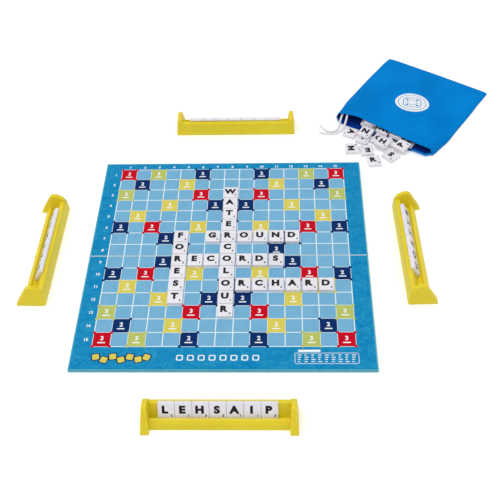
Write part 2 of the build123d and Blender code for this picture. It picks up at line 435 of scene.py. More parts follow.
class Stock:
    """Makes each finish once and hands out its material."""

    def __init__(self) -> None:
        """Starts with nothing made."""
        self._made: dict[str, bpy.types.Material] = {}

    def get(self, finish: Finish) -> bpy.types.Material:
        """Hands out a finish's material, built the first time it is asked for.

        Args:
            finish: the finish.

        Returns:
            Its material.
        """
        if finish.name not in self._made:
            self._made[finish.name] = finish.make()
        return self._made[finish.name]


STOCK = Stock()

TILE_PLASTIC = Plastic("tile_plastic", "ECE9EF", "E2DFE8", roughness=0.34, glow=0.15)
TILE_INK = Ink("tile_ink", "040406", "0A0A0E")
RACK_PLASTIC = Plastic(
    "rack_plastic", "E8D425", "E0CB1E", roughness=0.4, grain=0.00002, glow=0.4, gloss=0.35
)
MARGIN_PRINT = Paper(
    "margin_print", "0282BA", "1C8EBF", (22.0, 70.0), (0.34, 0.66),
    gloss=0.05, fleck="3AA2CA", stroke="02679C",
)  # fmt: skip
LINE_PRINT = Paper("line_print", "F1F9FB", "E1F0F5", (80.0, 80.0))
CELL_PRINT = Paper("cell_print", "79B3D4", "6BA8CD", (45.0, 45.0), (0.3, 0.75))
NAVY_PRINT = Paper("navy_print", "042E6A", "03275A", (90.0, 90.0), gloss=0.05)
RED_PRINT = Paper("red_print", "CD0722", "BC061D", (90.0, 90.0), gloss=0.05)
YELLOW_PRINT = Paper("yellow_print", "DDD058", "D0C252", (90.0, 90.0))
LIME_PRINT = Paper("lime_print", "BCC469", "AFBA60", (90.0, 90.0))
WHITE_INK = Ink("white_ink", "F4F8FA", "E3EEF3")
WRAP_PAPER = Paper("wrapping_paper", "5FAFC4", "50A2B8", (50.0, 90.0), roughness=0.55)
GREY_BOARD = Paper("grey_board", "A9A49C", "98938B", (160.0, 60.0), roughness=0.8)
BAG_OUTSIDE = Cloth("bag_cloth_outside", "038ADC", "0077C6", gloss=0.02)
# darker blue of the cloth's inner faces: painted shade inside the bag
BAG_INSIDE_SHADE = Cloth("bag_cloth_inside", "0A3BA0", "083088")
BAG_THREAD = Cloth("bag_thread", "066FBC", "0664AC", threads=3000.0)
BADGE_INK = Ink("badge_ink", "EEF2F6", "E4E9EF", roughness=0.6)
BADGE_BLUE = Ink("badge_blue", "1482BE", "1A78B4", roughness=0.6)
# the darker colour is painted shade in the braid's grooves
CORD_FIBRE = Twine("cord_fibre", "F4F3F6", "D8D5DC")


class Form:
    """Points and faces being gathered for one mesh, each face with a material index."""

    def __init__(self) -> None:
        """Starts with no points and no faces."""
        self.points: list[Points] = []
        self.faces: Faces = []
        self.paints: list[int] = []
        self.count = 0

    def add(self, points: Points, faces: Faces, index: int = 0, place: Matrix | None = None) -> None:
        """Adds a closed or open group of faces.

        Args:
            points: an n by 3 array in metres.
            faces: corner numbers into those points.
            index: the material index of every face.
            place: a transform for the points, if they aren't in place yet.
        """
        points = np.asarray(points, dtype=float).reshape(-1, 3)
        if place is not None:
            matrix = np.array(place)
            points = points @ matrix[:3, :3].T + matrix[:3, 3]
        self.points.append(points)
        self.faces.extend(tuple(corner + self.count for corner in face) for face in faces)
        self.paints.extend([index] * len(faces))
        self.count += len(points)

    def build(
        self, name: str, finishes: Sequence[Finish], body: str, smooth: float | None = None
    ) -> bpy.types.Object:
        """Makes the object and seats it on a body.

        Args:
            name: the object's name.
            finishes: one finish for each material index.
            body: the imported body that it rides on.
            smooth: the angle in degrees under which faces shade as one surface, or None for flat.

        Returns:
            The new object.
        """
        mesh = bpy.data.meshes.new(name)
        mesh.from_pydata(np.concatenate(self.points).tolist(), [], self.faces)
        for finish in finishes:
            mesh.materials.append(STOCK.get(finish))
        mesh.polygons.foreach_set("material_index", self.paints)
        made = link(name, mesh)
        if smooth is not None:
            soften(mesh, smooth)
        mesh.update()
        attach(made, body)
        LOG.info("%s: %d points, %d faces on %s", name, self.count, len(self.faces), body)
        return made


def link(name: str, data: bpy.types.ID) -> bpy.types.Object:
    """Puts data into the scene.

    Args:
        name: the new object's name.
        data: its mesh, lamp or camera.

    Returns:
        The new object.
    """
    made = bpy.data.objects.new(name, data)
    bpy.context.collection.objects.link(made)
    return made


def read(items: Any, name: str, columns: int, kind: type = float) -> Points:
    """Reads one attribute of all points, corners or triangles of a mesh.

    Args:
        items: the mesh's collection of them.
        name: the attribute.
        columns: how many numbers each of them has.
        kind: the type of a number.

    Returns:
        An array with a row for each.
    """
    numbers = np.empty(len(items) * columns, dtype=kind)
    items.foreach_get(name, numbers)
    return numbers.reshape(-1, columns)


def melt(curve: bpy.types.Curve) -> tuple[Points, Faces]:
    """Reads a curve or text as a mesh and throws it away.

    Args:
        curve: the curve's data, which isn't in the scene.

    Returns:
        The mesh's points and its faces.
    """
    holder = bpy.data.objects.new(curve.name, curve)
    mesh = bpy.data.meshes.new_from_object(holder)
    points = read(mesh.vertices, "co", 3)
    faces = [tuple(face.vertices) for face in mesh.polygons]
    bpy.data.objects.remove(holder)
    bpy.data.curves.remove(curve)
    bpy.data.meshes.remove(mesh)
    return points, faces


def map_weave(made: bpy.types.Object, spots: Points) -> None:
    """Gives an object the UV named weave, from a spot for each of its points."""
    corners = read(made.data.loops, "vertex_index", 1, int).ravel()
    made.data.uv_layers.new(name="weave").data.foreach_set("uv", spots[corners].ravel())


def moved(x: float, y: float, degrees: float) -> Matrix:
    """A turn about z and then a move in x and y."""
    return Matrix.Translation((x, y, 0.0)) @ Matrix.Rotation(math.radians(degrees), 4, "Z")


def soften(mesh: bpy.types.Mesh, angle: float) -> None:
    """Shades a mesh smoothly, with sharp edges where faces meet at more than the angle."""
    mesh.polygons.foreach_set("use_smooth", [True] * len(mesh.polygons))
    mesh.set_sharp_from_angle(angle=math.radians(angle))


def ring_faces(levels: int, around: int, closed: bool = True) -> Faces:
    """Quads between rings of points numbered ring by ring, each ring once around.

    Args:
        levels: how many rings there are.
        around: points in each ring.
        closed: whether the last point of a ring joins its first.

    Returns:
        The faces, outward when rings run anticlockwise and rise.
    """
    last = around if closed else around - 1
    return [
        (level * around + at, level * around + (at + 1) % around,
         (level + 1) * around + (at + 1) % around, (level + 1) * around + at)
        for level in range(levels - 1)
        for at in range(last)
    ]  # fmt: skip


def flipped(faces: Faces) -> Faces:
    """The same faces looking the other way."""
    return [tuple(reversed(face)) for face in faces]


def capped(levels: int, around: int) -> Faces:
    """The faces of rings that are closed by one face at the top and one at the foot."""
    count = levels * around
    return [tuple(range(count - around, count)), tuple(reversed(range(around))), *ring_faces(levels, around)]


def raised(outline: Points, level: float) -> Points:
    """An outline's points at one height."""
    return np.column_stack([outline, np.full(len(outline), level)])


def rounded_ring(width: float, depth: float, radius: float, steps: int = 5) -> Points:
    """Outline of a rounded rectangle about the origin, anticlockwise.

    Each corner is a quarter circle whose centre lies one radius in from both its sides.

    Args:
        width: its size in x.
        depth: its size in y.
        radius: its corners' radius.
        steps: points in each corner.

    Returns:
        An n by 2 array.
    """
    radius = max(radius, 1e-6)
    turns = np.linspace(0.0, math.pi / 2, steps)
    corners = []
    for number, (side_x, side_y) in enumerate(QUARTERS):
        angle = turns + number * math.pi / 2
        centre = np.array([side_x * (width / 2 - radius), side_y * (depth / 2 - radius)])
        corners.append(centre + radius * np.stack([np.cos(angle), np.sin(angle)], axis=1))
    return np.concatenate(corners)


def slab(outline: Points, low: float, high: float) -> tuple[Points, Faces]:
    """A closed flat piece with an anticlockwise outline between two heights."""
    return np.concatenate([raised(outline, low), raised(outline, high)]), capped(2, len(outline))


def frame_slab(outer: Points, inner: Points, low: float, high: float) -> tuple[Points, Faces]:
    """A closed flat band between two outlines of the same number of points."""
    rings = [raised(inner, low), raised(outer, low), raised(outer, high), raised(inner, high)]
    return np.concatenate([*rings, rings[0]]), ring_faces(5, len(outer))


class Lettering:
    """Solid letters cut from the built-in sans serif, each made once and kept as arrays.

    Half of a letter's thickness lies in the surface that it is stamped on.
    """

    THICK = 0.03 * MM

    def __init__(self, weight: float, wide: float = 1.0) -> None:
        """Takes how far each outline is thickened and how much letters are widened."""
        self.weight = weight
        self.wide = wide
        self._cut: dict[str, tuple[Points, Faces]] = {}

    def glyph(self, text: str) -> tuple[Points, Faces]:
        """The text as a closed slab one metre tall and one metre thick, centred on the origin.

        Args:
            text: the characters.

        Returns:
            Its points and its faces.
        """
        if text not in self._cut:
            curve = bpy.data.curves.new("lettering", "FONT")
            curve.body = text
            curve.size = 1.0
            curve.resolution_u = 4
            curve.offset = self.weight
            curve.extrude = 0.5
            points, faces = melt(curve)
            low, high = points.min(axis=0), points.max(axis=0)
            points = (points - (low + high) / 2) / (high[1] - low[1])
            points[:, 0] *= self.wide
            points[:, 2] = np.sign(points[:, 2]) * 0.5
            self._cut[text] = (points, faces)
        return self._cut[text]

    def stamp(
        self, form: Form, text: str, height: float, at: Sequence[float], index: int,
        place: Matrix | None = None,
    ) -> None:  # fmt: skip
        """Adds the text to a form as a thin layer of ink.

        Args:
            form: what it is added to.
            text: the characters.
            height: their height in metres.
            at: the middle of the text in x and y, and the height of the surface under it.
            index: material index.
            place: where the surface itself lies.
        """
        points, faces = self.glyph(text)
        form.add(points * np.array([height, height, self.THICK]) + np.array(at), faces, index, place)


@dataclass
class TileSize:
    """One letter tile, in metres, and the degrees under which its faces shade as one."""

    width: float = 18.6 * MM
    depth: float = 19.9 * MM
    height: float = 4.6 * MM
    corner: float = 1.3 * MM
    letter: float = 9.8 * MM
    letter_at: Pair = mm(-1.0, 1.4)
    value: float = 3.0 * MM
    value_at: Pair = mm(5.9, -5.7)
    smooth: float = 42.0


class TileSet:
    """The letter tiles: finds where each packed tile lies, and lays a detailed one there.

    The rolls are how far each ring of a tile is drawn in and how far it is from the foot, or
    under the top, in millimetres. A packed triangle up to a speck in size has no direction,
    and a tile's sides are square to its top within a small share.
    """

    VALUES = {"AEIOU": "1", "LNRST": "2", "BCDFGHMP": "3", "JKVWXYZ": "5", "Q": "8"}
    LOWER_ROLL = ((0.55, 0.0), (0.16, 0.1), (0.0, 0.45))
    UPPER_ROLL = ((0.0, 0.75), (0.1, 0.36), (0.32, 0.12), (0.75, 0.0))
    CORNER_SHARE = 0.6
    SPECK = 1e-12
    SQUARE_WITHIN = 0.1

    def __init__(self, size: TileSize) -> None:
        """Takes the size of a tile and cuts two weights of letters."""
        self.size = size
        self.letters = Lettering(weight=0.064, wide=1.1)
        self.numerals = Lettering(weight=0.07)

    def body_form(self) -> tuple[Points, Faces]:
        """A tile with rolled edges: rings of the outline, each a little in or out, up its side.

        Returns:
            Its points and its faces.
        """
        size = self.size
        tall = size.height / MM
        profile = [*self.LOWER_ROLL, *((inward, tall - under) for inward, under in self.UPPER_ROLL)]
        rings = []
        for inward, level in profile:
            inset = inward * MM
            corner = size.corner - inset * self.CORNER_SHARE
            outline = rounded_ring(size.width - 2 * inset, size.depth - 2 * inset, corner)
            rings.append(raised(outline, level * MM))
        return np.concatenate(rings), capped(len(rings), len(rings[0]))

    def places(self, node: str) -> list[Matrix]:
        """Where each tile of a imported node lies.

        The node's triangles are grouped by shared corners. A tile's faces of one direction
        add up to an area, so its thin direction has the largest and its long side the next.

        Args:
            node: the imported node's name.

        Returns:
            One transform for each tile, from a tile lying flat at the origin.
        """
        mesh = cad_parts[node].data
        mesh.calc_loop_triangles()
        points = read(mesh.vertices, "co", 3)
        corners = read(mesh.loop_triangles, "vertices", 3, int)
        _, same = np.unique(np.round(points, 6), axis=0, return_inverse=True)
        labels = np.arange(same.max() + 1)
        triangles = same.reshape(-1)[corners]
        while True:
            lowest = labels[triangles].min(axis=1)
            fresh = labels.copy()
            for column in range(3):
                np.minimum.at(fresh, triangles[:, column], lowest)
            if np.array_equal(fresh, labels):
                break
            labels = fresh
        groups = labels[triangles[:, 0]]
        return [self._place_of(points[corners[groups == group]]) for group in np.unique(groups)]

    def _place_of(self, triangles: Points) -> Matrix:
        """Where one tile lies.

        Its long side points to the rear or, where the tile stands, up.

        Args:
            triangles: its triangles' corners, an n by 3 by 3 array.

        Returns:
            The transform that takes a tile from the origin there.
        """
        areas = np.cross(triangles[:, 1] - triangles[:, 0], triangles[:, 2] - triangles[:, 0])
        sizes = np.linalg.norm(areas, axis=1)
        keep = sizes > self.SPECK
        normals = areas[keep] / sizes[keep][:, None]
        spread = (normals * sizes[keep][:, None]).T @ normals
        _, axes = np.linalg.eigh(spread)
        up = axes[:, 2] if axes[2, 2] > 0 else -axes[:, 2]
        corners = triangles.reshape(-1, 3)
        middle = (corners.min(axis=0) + corners.max(axis=0)) / 2
        flat = corners - middle
        flat = flat - np.outer(flat @ up, up)
        longest = self._long_side(flat, normals, sizes[keep], up)
        if longest[1] + 0.5 * longest[2] < 0:
            longest = -longest
        across = np.cross(longest, up)
        base = middle - up * self.size.height / 2
        matrix = np.identity(4)
        matrix[:3, 0], matrix[:3, 1], matrix[:3, 2], matrix[:3, 3] = across, longest, up, base
        return Matrix(matrix.tolist())

    def _long_side(self, flat: Points, normals: Points, sizes: Points, up: Points) -> Points:
        """The direction in which a tile is longest, square to two of its sides.

        Args:
            flat: its corners from its middle, in its own plane.
            normals: the directions of its triangles.
            sizes: twice the triangles' areas.
            up: its thin direction.

        Returns:
            That direction, of length 1.
        """
        sides = np.abs(normals @ up) < self.SQUARE_WITHIN
        best = normals[sides][np.argmax(sizes[sides])]
        other = np.cross(best, up)
        reach = [np.ptp(flat @ way) for way in (best, other)]
        return best if reach[0] > reach[1] else other

    def value(self, letter: str) -> str:
        """The points that a letter scores in this set."""
        return next(score for group, score in self.VALUES.items() if letter in group)

    def lay(self, node: str, word: str, body: str, turns: Sequence[int] | None = None) -> bpy.types.Object:
        """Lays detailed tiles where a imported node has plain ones.

        Args:
            node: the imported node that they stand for.
            word: one letter for each tile, left to right as they are read.
            body: the body they ride on.
            turns: quarter turns of each letter, or None for all upright.

        Returns:
            The object with every tile of the node.
        """
        form = Form()
        places = self.places(node)
        if turns is None:
            across = places[0].col[0].to_3d()
            places.sort(key=lambda place: place.translation.dot(across))
        shell = self.body_form()
        size, top = self.size, self.size.height
        for number, (place, letter) in enumerate(zip(places, word, strict=True)):
            quarter = turns[number] if turns is not None else 0
            form.add(*shell, 0, place)
            stamped = place @ moved(0.0, 0.0, 90 * quarter)
            self.letters.stamp(form, letter, size.letter, (*size.letter_at, top), 1, stamped)
            self.numerals.stamp(form, self.value(letter), size.value, (*size.value_at, top), 1, stamped)
        made = form.build(f"{node}_detail", [TILE_PLASTIC, TILE_INK], body, size.smooth)
        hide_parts(node)
        return made


@dataclass
class BoardSize:
    """The folding board's print, in metres, with the fold at y = 0.

    The dots of each colour lie at a level of their own, in shares of a layer.
    """

    pitch: float = 20.6 * MM
    squares: int = 15
    rear_rows: int = 8
    line: float = 1.1 * MM
    edge: float = 176.4 * MM
    inner: float = 0.3 * MM
    crease: float = 0.8 * MM
    low: float = 3.7 * MM
    top: float = 4.0 * MM
    layer: float = 0.04 * MM
    numeral: float = 4.4 * MM
    rows_out: float = 18.6 * MM
    columns_out: float = 15.4 * MM
    mark: float = 6.4 * MM
    mark_up: float = 1.9 * MM
    bar: Triple = mm(9.4, 1.7, 0.8)
    bar_down: float = 4.6 * MM
    dot: Triple = mm(3.8, 3.8, 1.9)
    dot_clear: float = 2.4 * MM
    dot_level: float = 0.3
    dot_level_step: float = 0.1


@dataclass
class MarginSize:
    """The print in the front margin, in metres.

    A shape is its width, depth and corner, and a place is from the middle of the field's
    front edge. Each tossed square has x, y and its turn in degrees.
    """

    legend_at: Pair = mm(120.0, -17.0)
    legend_outer: Triple = mm(74.0, 15.5, 2.4)
    legend_inner: Triple = mm(72.8, 14.3, 1.8)
    header: Triple = mm(26.0, 3.2, 1.2)
    header_from_legend: Pair = mm(-20.0, 10.6)
    dash: Triple = mm(4.9, 1.1, 0.5)
    dash_columns: int = 9
    dash_lines: int = 4
    dash_steps: Pair = mm(7.8, 3.1)
    dash_cut: float = 0.7 * MM
    boxes: int = 8
    boxes_at: Pair = mm(-6.0, -16.2)
    box_step: float = 12.6 * MM
    box_outer: Triple = mm(8.0, 8.0, 2.0)
    box_inner: Triple = mm(5.2, 5.2, 1.0)
    tossed_outer: Triple = mm(10.6, 10.6, 2.4)
    tossed_inner: Triple = mm(8.0, 8.0, 1.6)
    tossed: tuple[Triple, ...] = (
        (-0.148, -0.015, 12), (-0.138, -0.019, -16), (-0.128, -0.0145, 8), (-0.118, -0.019, 20),
        (-0.108, -0.015, -10), (-0.098, -0.0185, 14), (-0.0885, -0.0155, -20),
    )  # fmt: skip


class Board:
    """The printed play area of both halves, its margins, and the wrapped board under it."""

    PATTERN = {
        Part.LIME: {(7, 5)},
        Part.YELLOW: {(6, 3), (4, 4), (2, 2)},
        Part.RED: {(5, 2), (7, 7)},
        Part.NAVY: {(7, 2), (6, 6), (4, 1), (3, 0)},
    }
    MARKS = {Part.NAVY: "2", Part.RED: "3", Part.YELLOW: "2", Part.LIME: "3"}
    PRINTS = [MARGIN_PRINT, LINE_PRINT, CELL_PRINT, NAVY_PRINT, RED_PRINT, YELLOW_PRINT, LIME_PRINT]
    MARK_FINISHES = [WHITE_INK, NAVY_PRINT, RED_PRINT, YELLOW_PRINT, LIME_PRINT]
    MARK_INDEX = {Part.NAVY: 1, Part.RED: 2, Part.YELLOW: 3, Part.LIME: 4}

    def __init__(self, size: BoardSize, margin: MarginSize) -> None:
        """Works out the field's edges.

        Args:
            size: the sizes of the board and its field.
            margin: the sizes of what is printed in its front margin.
        """
        self.size = size
        self.margin = margin
        self.field = size.squares * size.pitch / 2
        self.rear_edge = size.rear_rows * size.pitch
        self.front_edge = (size.squares - size.rear_rows) * size.pitch
        self.front = np.array([0.0, -self.front_edge])
        self.ink = (size.top - size.layer, size.top + size.layer / 2)
        self.digits = Lettering(weight=0.035)

    def kind(self, column: int, row: int) -> Part:
        """The kind of a square, the same in all eight directions from the middle square.

        Args:
            column: from the left, from 1.
            row: from the rear, from 1.

        Returns:
            Its colour, or a plain cell.
        """
        middle = (self.size.squares + 1) // 2
        steps = (abs(column - middle), abs(row - middle))
        for part, offsets in self.PATTERN.items():
            if steps in offsets or steps[::-1] in offsets:
                return part
        return Part.CELL

    def centre(self, column: int, row: int) -> Pair:
        """The middle of a square, columns from the left and rows from the rear, both from 1."""
        pitch = self.size.pitch
        return (column - (self.size.squares + 1) / 2) * pitch, (self.size.rear_rows + 0.5 - row) * pitch

    def sheet(self, half: Half) -> bpy.types.Object:
        """One half's printed sheet: a closed flat box whose top is cut along every printed line.

        The crease along the fold shows white, as a line does. Any other piece of the top is
        margin outside the field. Inside it belongs to its square if that is coloured, else to
        a line if it touches one, else to the cell.

        Args:
            half: which half to make.

        Returns:
            The sheet.
        """
        size = self.size
        rules_x = (np.arange(size.squares + 1) - size.squares / 2) * size.pitch
        rules_y = self.rear_edge - np.arange(size.squares + 1) * size.pitch
        near, far = (size.inner, size.edge) if half is Half.REAR else (-size.edge, -size.inner)
        cuts_x = self._cuts(rules_x, -size.edge, size.edge)
        cuts_y = self._cuts(rules_y, near, far, (-size.crease, size.crease))
        form = Form()
        grid_x, grid_y = np.meshgrid(cuts_x, cuts_y)
        top = raised(np.column_stack([grid_x.ravel(), grid_y.ravel()]), size.top)
        bottom = raised(top[:, :2], size.low)
        wide, deep = len(cuts_x), len(cuts_y)
        quads = ring_faces(deep, wide, closed=False)
        form.add(np.concatenate([top, bottom]), quads)
        mid_x, mid_y = (cuts_x[:-1] + cuts_x[1:]) / 2, (cuts_y[:-1] + cuts_y[1:]) / 2
        form.paints = [self._part_at(x, y).value for y in mid_y for x in mid_x]
        under = wide * deep
        form.faces.append((under, under + wide * (deep - 1), 2 * under - 1, under + wide - 1))
        rim = [
            *range(wide), *range(2 * wide - 1, under, wide),
            *range(under - 2, under - wide - 1, -1), *range(under - 2 * wide, 0, -wide),
        ]  # fmt: skip
        for here, after in zip(rim, rim[1:] + rim[:1]):
            form.faces.append((here + under, after + under, after, here))
        form.paints += [0] * (len(rim) + 1)
        made = form.build(f"{half.value}_sheet", self.PRINTS, half.value)
        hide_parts(f"{half.value}_print")
        return made

    def _cuts(self, rules: Points, near: float, far: float, extra: Sequence[float] = ()) -> Points:
        """Where a sheet is cut in one direction: its ends, and every line's middle and both edges.

        Args:
            rules: the lines' middles.
            near: the sheet's lower end.
            far: its upper end.
            extra: further cuts.

        Returns:
            The cuts, rising.
        """
        half = self.size.line / 2
        cuts = np.concatenate([rules - half, rules, rules + half, extra])
        return np.unique(np.concatenate([cuts[(cuts > near) & (cuts < far)], [near, far]]))

    def _part_at(self, x: float, y: float) -> Part:
        """What is printed at a point of the board.

        Args:
            x: from the board's middle, in metres.
            y: from the fold.

        Returns:
            The printed area.
        """
        size = self.size
        if abs(y) < size.crease:
            return Part.LINE
        outer = self.field + size.line / 2
        inside = abs(x) < outer and -self.front_edge - size.line / 2 < y < self.rear_edge + size.line / 2
        if not inside:
            return Part.MARGIN
        column = min(max(int((x + self.field) // size.pitch) + 1, 1), size.squares)
        row = min(max(int((self.rear_edge - y) // size.pitch) + 1, 1), size.squares)
        within = abs(x) < self.field and -self.front_edge < y < self.rear_edge
        kind = self.kind(column, row)
        if within and kind is not Part.CELL:
            return kind
        from_x = abs((x + self.field + size.pitch / 2) % size.pitch - size.pitch / 2)
        from_y = abs((self.rear_edge - y + size.pitch / 2) % size.pitch - size.pitch / 2)
        return Part.LINE if min(from_x, from_y) < size.line / 2 else Part.CELL

    def overprint(self, half: Half) -> bpy.types.Object:
        """The ink on top of one half: marks in the coloured squares, corner dots and numbers.

        Args:
            half: which half to make.

        Returns:
            The ink.
        """
        form = Form()
        size = self.size
        rear = half is Half.REAR
        columns = range(1, size.squares + 1)
        for row in columns[: size.rear_rows] if rear else columns[size.rear_rows :]:
            for column in columns:
                kind = self.kind(column, row)
                if kind is not Part.CELL:
                    self._mark(form, kind, self.centre(column, row))
            x, y = self.centre(1, row)
            self._number(form, row, x - size.rows_out, y)
        if rear:
            for column in columns:
                x, y = self.centre(column, 1)
                self._number(form, column, x, y + size.columns_out)
        else:
            self._legend(form)
            self._row_of_boxes(form)
            self._tossed_squares(form)
        return form.build(f"{half.value}_marks", self.MARK_FINISHES, half.value)

    def _number(self, form: Form, number: int, x: float, y: float) -> None:
        """Prints the number of a row or column, with its middle at x and y."""
        self.digits.stamp(form, str(number), self.size.numeral, (x, y, self.size.top), 0)

    def _patch(self, form: Form, shape: Triple, at: Points, steps: int = 3) -> None:
        """Prints a white rounded bar with its middle at a place."""
        form.add(*slab(rounded_ring(*shape, steps) + at, *self.ink), 0)

    def _band(self, form: Form, outer: Triple, inner: Triple, at: Points) -> None:
        """Prints a white band between two rounded outlines about a place."""
        form.add(*frame_slab(rounded_ring(*outer) + at, rounded_ring(*inner) + at, *self.ink), 0)

    def _mark(self, form: Form, kind: Part, centre: Pair) -> None:
        """A numeral over a bar in a coloured square, and a round dot at each of its corners.

        Args:
            form: what it is added to.
            kind: the square's colour.
            centre: the square's middle.
        """
        size = self.size
        x, y = centre
        self.digits.stamp(form, self.MARKS[kind], size.mark, (x, y + size.mark_up, size.top), 0)
        self._patch(form, size.bar, np.array([x, y - size.bar_down]))
        index = self.MARK_INDEX[kind]
        level = size.top + size.layer * (size.dot_level + size.dot_level_step * index)
        for quarter in QUARTERS:
            spot = np.array(centre) + np.array(quarter) * size.pitch / 2
            if abs(spot[1]) > size.inner + size.dot_clear:
                form.add(*slab(rounded_ring(*size.dot) + spot, size.top - size.layer, level), index)

    def _legend(self, form: Form) -> None:
        """The box of small dashes at the right of the front margin, under a header bar.

        Each dash is cut short at its right by 0 to 3 steps.

        Args:
            form: what it is added to.
        """
        margin = self.margin
        at = self.front + margin.legend_at
        self._band(form, margin.legend_outer, margin.legend_inner, at)
        self._patch(form, margin.header, at + margin.header_from_legend, 5)
        wide, deep, corner = margin.dash
        last_column, last_line = margin.dash_columns - 1, margin.dash_lines - 1
        for column in range(margin.dash_columns):
            for line in range(margin.dash_lines):
                short = (column * 3 + line * 5) % 4 * margin.dash_cut
                spot = at + np.array([column - last_column / 2, last_line / 2 - line]) * margin.dash_steps
                self._patch(form, (wide - short, deep, corner), spot - np.array([short / 2, 0]))

    def _row_of_boxes(self, form: Form) -> None:
        """Small rounded outlines in a row in the middle of the front margin.

        Args:
            form: what they are added to.
        """
        margin = self.margin
        for number in range(margin.boxes):
            along = (number - (margin.boxes - 1) / 2) * margin.box_step
            at = self.front + margin.boxes_at + np.array([along, 0.0])
            self._band(form, margin.box_outer, margin.box_inner, at)

    def _tossed_squares(self, form: Form) -> None:
        """Small yellow squares with navy rims, tossed at the left of the front margin.

        Args:
            form: what they are added to.
        """
        size, margin = self.size, self.margin
        rim, face = self.MARK_INDEX[Part.NAVY], self.MARK_INDEX[Part.YELLOW]
        for x, y, turn in margin.tossed:
            place = moved(x, y - self.front_edge, turn)
            form.add(*slab(rounded_ring(*margin.tossed_outer), *self.ink), rim, place)
            form.add(*slab(rounded_ring(*margin.tossed_inner), size.top, size.top + size.layer), face, place)

    def dress(self) -> None:
        """Makes both sheets and their ink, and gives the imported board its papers."""
        for half in Half:
            self.sheet(half)
            self.overprint(half)
            for ending, finish in (("wrap", WRAP_PAPER), ("core", GREY_BOARD)):
                dress_node(f"{half.value}_{ending}", finish)
        dress_node("fold_strip", WRAP_PAPER)


def dress_node(node: str, finish: Finish) -> None:
    """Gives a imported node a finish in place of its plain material.

    Args:
        node: the node's name.
        finish: its finish.
    """
    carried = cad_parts[node]
    for slot in carried.material_slots:
        slot.material = STOCK.get(finish)
    LOG.info("%s carried over with %s", node, finish.name)


@dataclass
class Rack:
    """A moulded rack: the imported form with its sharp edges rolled, in metres and degrees."""

    side: str
    roll: float = 0.7 * MM
    roll_steps: int = 3
    weld: float = 0.000001
    flat_under: float = 0.8
    sharp_over: float = 38.0

    def dress(self) -> bpy.types.Object:
        """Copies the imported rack, joins its triangles and rolls every sharp edge.

        Returns:
            The detailed rack.
        """
        node = f"rack_{self.side}"
        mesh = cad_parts[node].data.copy()
        work = bmesh.new()
        work.from_mesh(mesh)
        bmesh.ops.remove_doubles(work, verts=work.verts, dist=self.weld)
        bmesh.ops.dissolve_limit(
            work, angle_limit=math.radians(self.flat_under),
            verts=work.verts, edges=work.edges, use_dissolve_boundaries=False,
        )  # fmt: skip
        bmesh.ops.recalc_face_normals(work, faces=work.faces)
        work.to_mesh(mesh)
        work.free()
        mesh.materials.clear()
        mesh.materials.append(STOCK.get(RACK_PLASTIC))
        soften(mesh, self.sharp_over)
        made = link(f"{node}_moulding", mesh)
        roll = made.modifiers.new("rolled_edges", "BEVEL")
        roll.width = self.roll
        roll.segments = self.roll_steps
        roll.limit_method = "ANGLE"
        roll.angle_limit = math.radians(self.sharp_over)
        roll.use_clamp_overlap = True
        flats = made.modifiers.new("flat_faces", "WEIGHTED_NORMAL")
        flats.keep_sharp = True
        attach(made, node)
        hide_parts(node)
        LOG.info("%s: %d faces before its edges are rolled", made.name, len(mesh.polygons))
        return made


def smooth_through(known: Points, values: Points, wanted: Points) -> Points:
    """Values between known ones along a curve that never overshoots them.

    The slope at a known place is the harmonic mean of the slopes on its two sides, and 0
    where they differ in sign. Between two places the curve is the cubic with those slopes.

    Args:
        known: rising places, n of them.
        values: what is known there, n by any number of columns.
        wanted: the places asked for.

    Returns:
        One row for each wanted place.
    """
    steps = np.diff(known)[:, None]
    slopes = np.diff(values, axis=0) / steps
    before, after = slopes[:-1], slopes[1:]
    with np.errstate(divide="ignore", invalid="ignore"):
        inner = np.where(before * after > 0, 2 * before * after / (before + after), 0.0)
    tangents = np.concatenate([slopes[:1], inner, slopes[-1:]])
    span = np.clip(np.searchsorted(known, wanted, side="right") - 1, 0, len(known) - 2)
    width = steps[span]
    share = ((wanted - known[span]) / width[:, 0])[:, None]
    first = (1 + 2 * share) * (1 - share) ** 2 * values[span]
    second = share * (1 - share) ** 2 * width * tangents[span]
    third = share**2 * (3 - 2 * share) * values[span + 1]
    fourth = share**2 * (share - 1) * width * tangents[span + 1]
    return first + second + third + fourth


def ease_in(share: Points) -> Points:
    """Rises smoothly from 0 to 1 while share goes from 0 to 1, and is level outside that."""
    held = np.clip(share, 0.0, 1.0)
    return held * held * (3 - 2 * held)


def bell(value: Points, middle: float, reach: float) -> Points:
    """A bell curve: 1 at the middle and 0.37 at one reach from it."""
    return np.exp(-(((value - middle) / reach) ** 2))


@dataclass
class BagSize:
    """The bag in its own x along the mouth and y into the bag, in millimetres until built.

    The sheet's wall, its offset and its top are shares of the cloth's thickness. The wall
    thins, down to the share called thinnest, where the sheets are closer than closing. The
    hem's rise fades from a little before its seam. The rows of the lower sheet crowd to its
    lip by a power, and columns crowd to the seams by the share of a sine to that of a line.
    Unfolded is where the lower sheet starts in the UV.
    """

    at: Pair = (215.6, 238.9)
    turn: float = -33.8
    cloth: float = 1.2
    lip: float = -8.0
    hem: float = -1.0
    end: float = 173.0
    lip_corner: float = 16.0
    seam: float = 14.0
    hem_rise: float = 0.3
    hem_fade: Pair = (1.0, 1.5)
    apart: float = 0.2
    wall: float = 0.9
    wall_offset: float = -0.9
    sheet_top: float = 0.06
    closing: float = 3.2
    thinnest: float = 0.05
    column_crowding: Pair = (0.55, 0.45)
    row_crowding: float = 1.6
    unfolded: float = 400.0
    stitch: Triple = (1.9, 0.55, 0.25)
    stitches: int = 56
    stitch_reach: float = 0.93
    stitch_levels: Pair = (-0.1, 0.28)


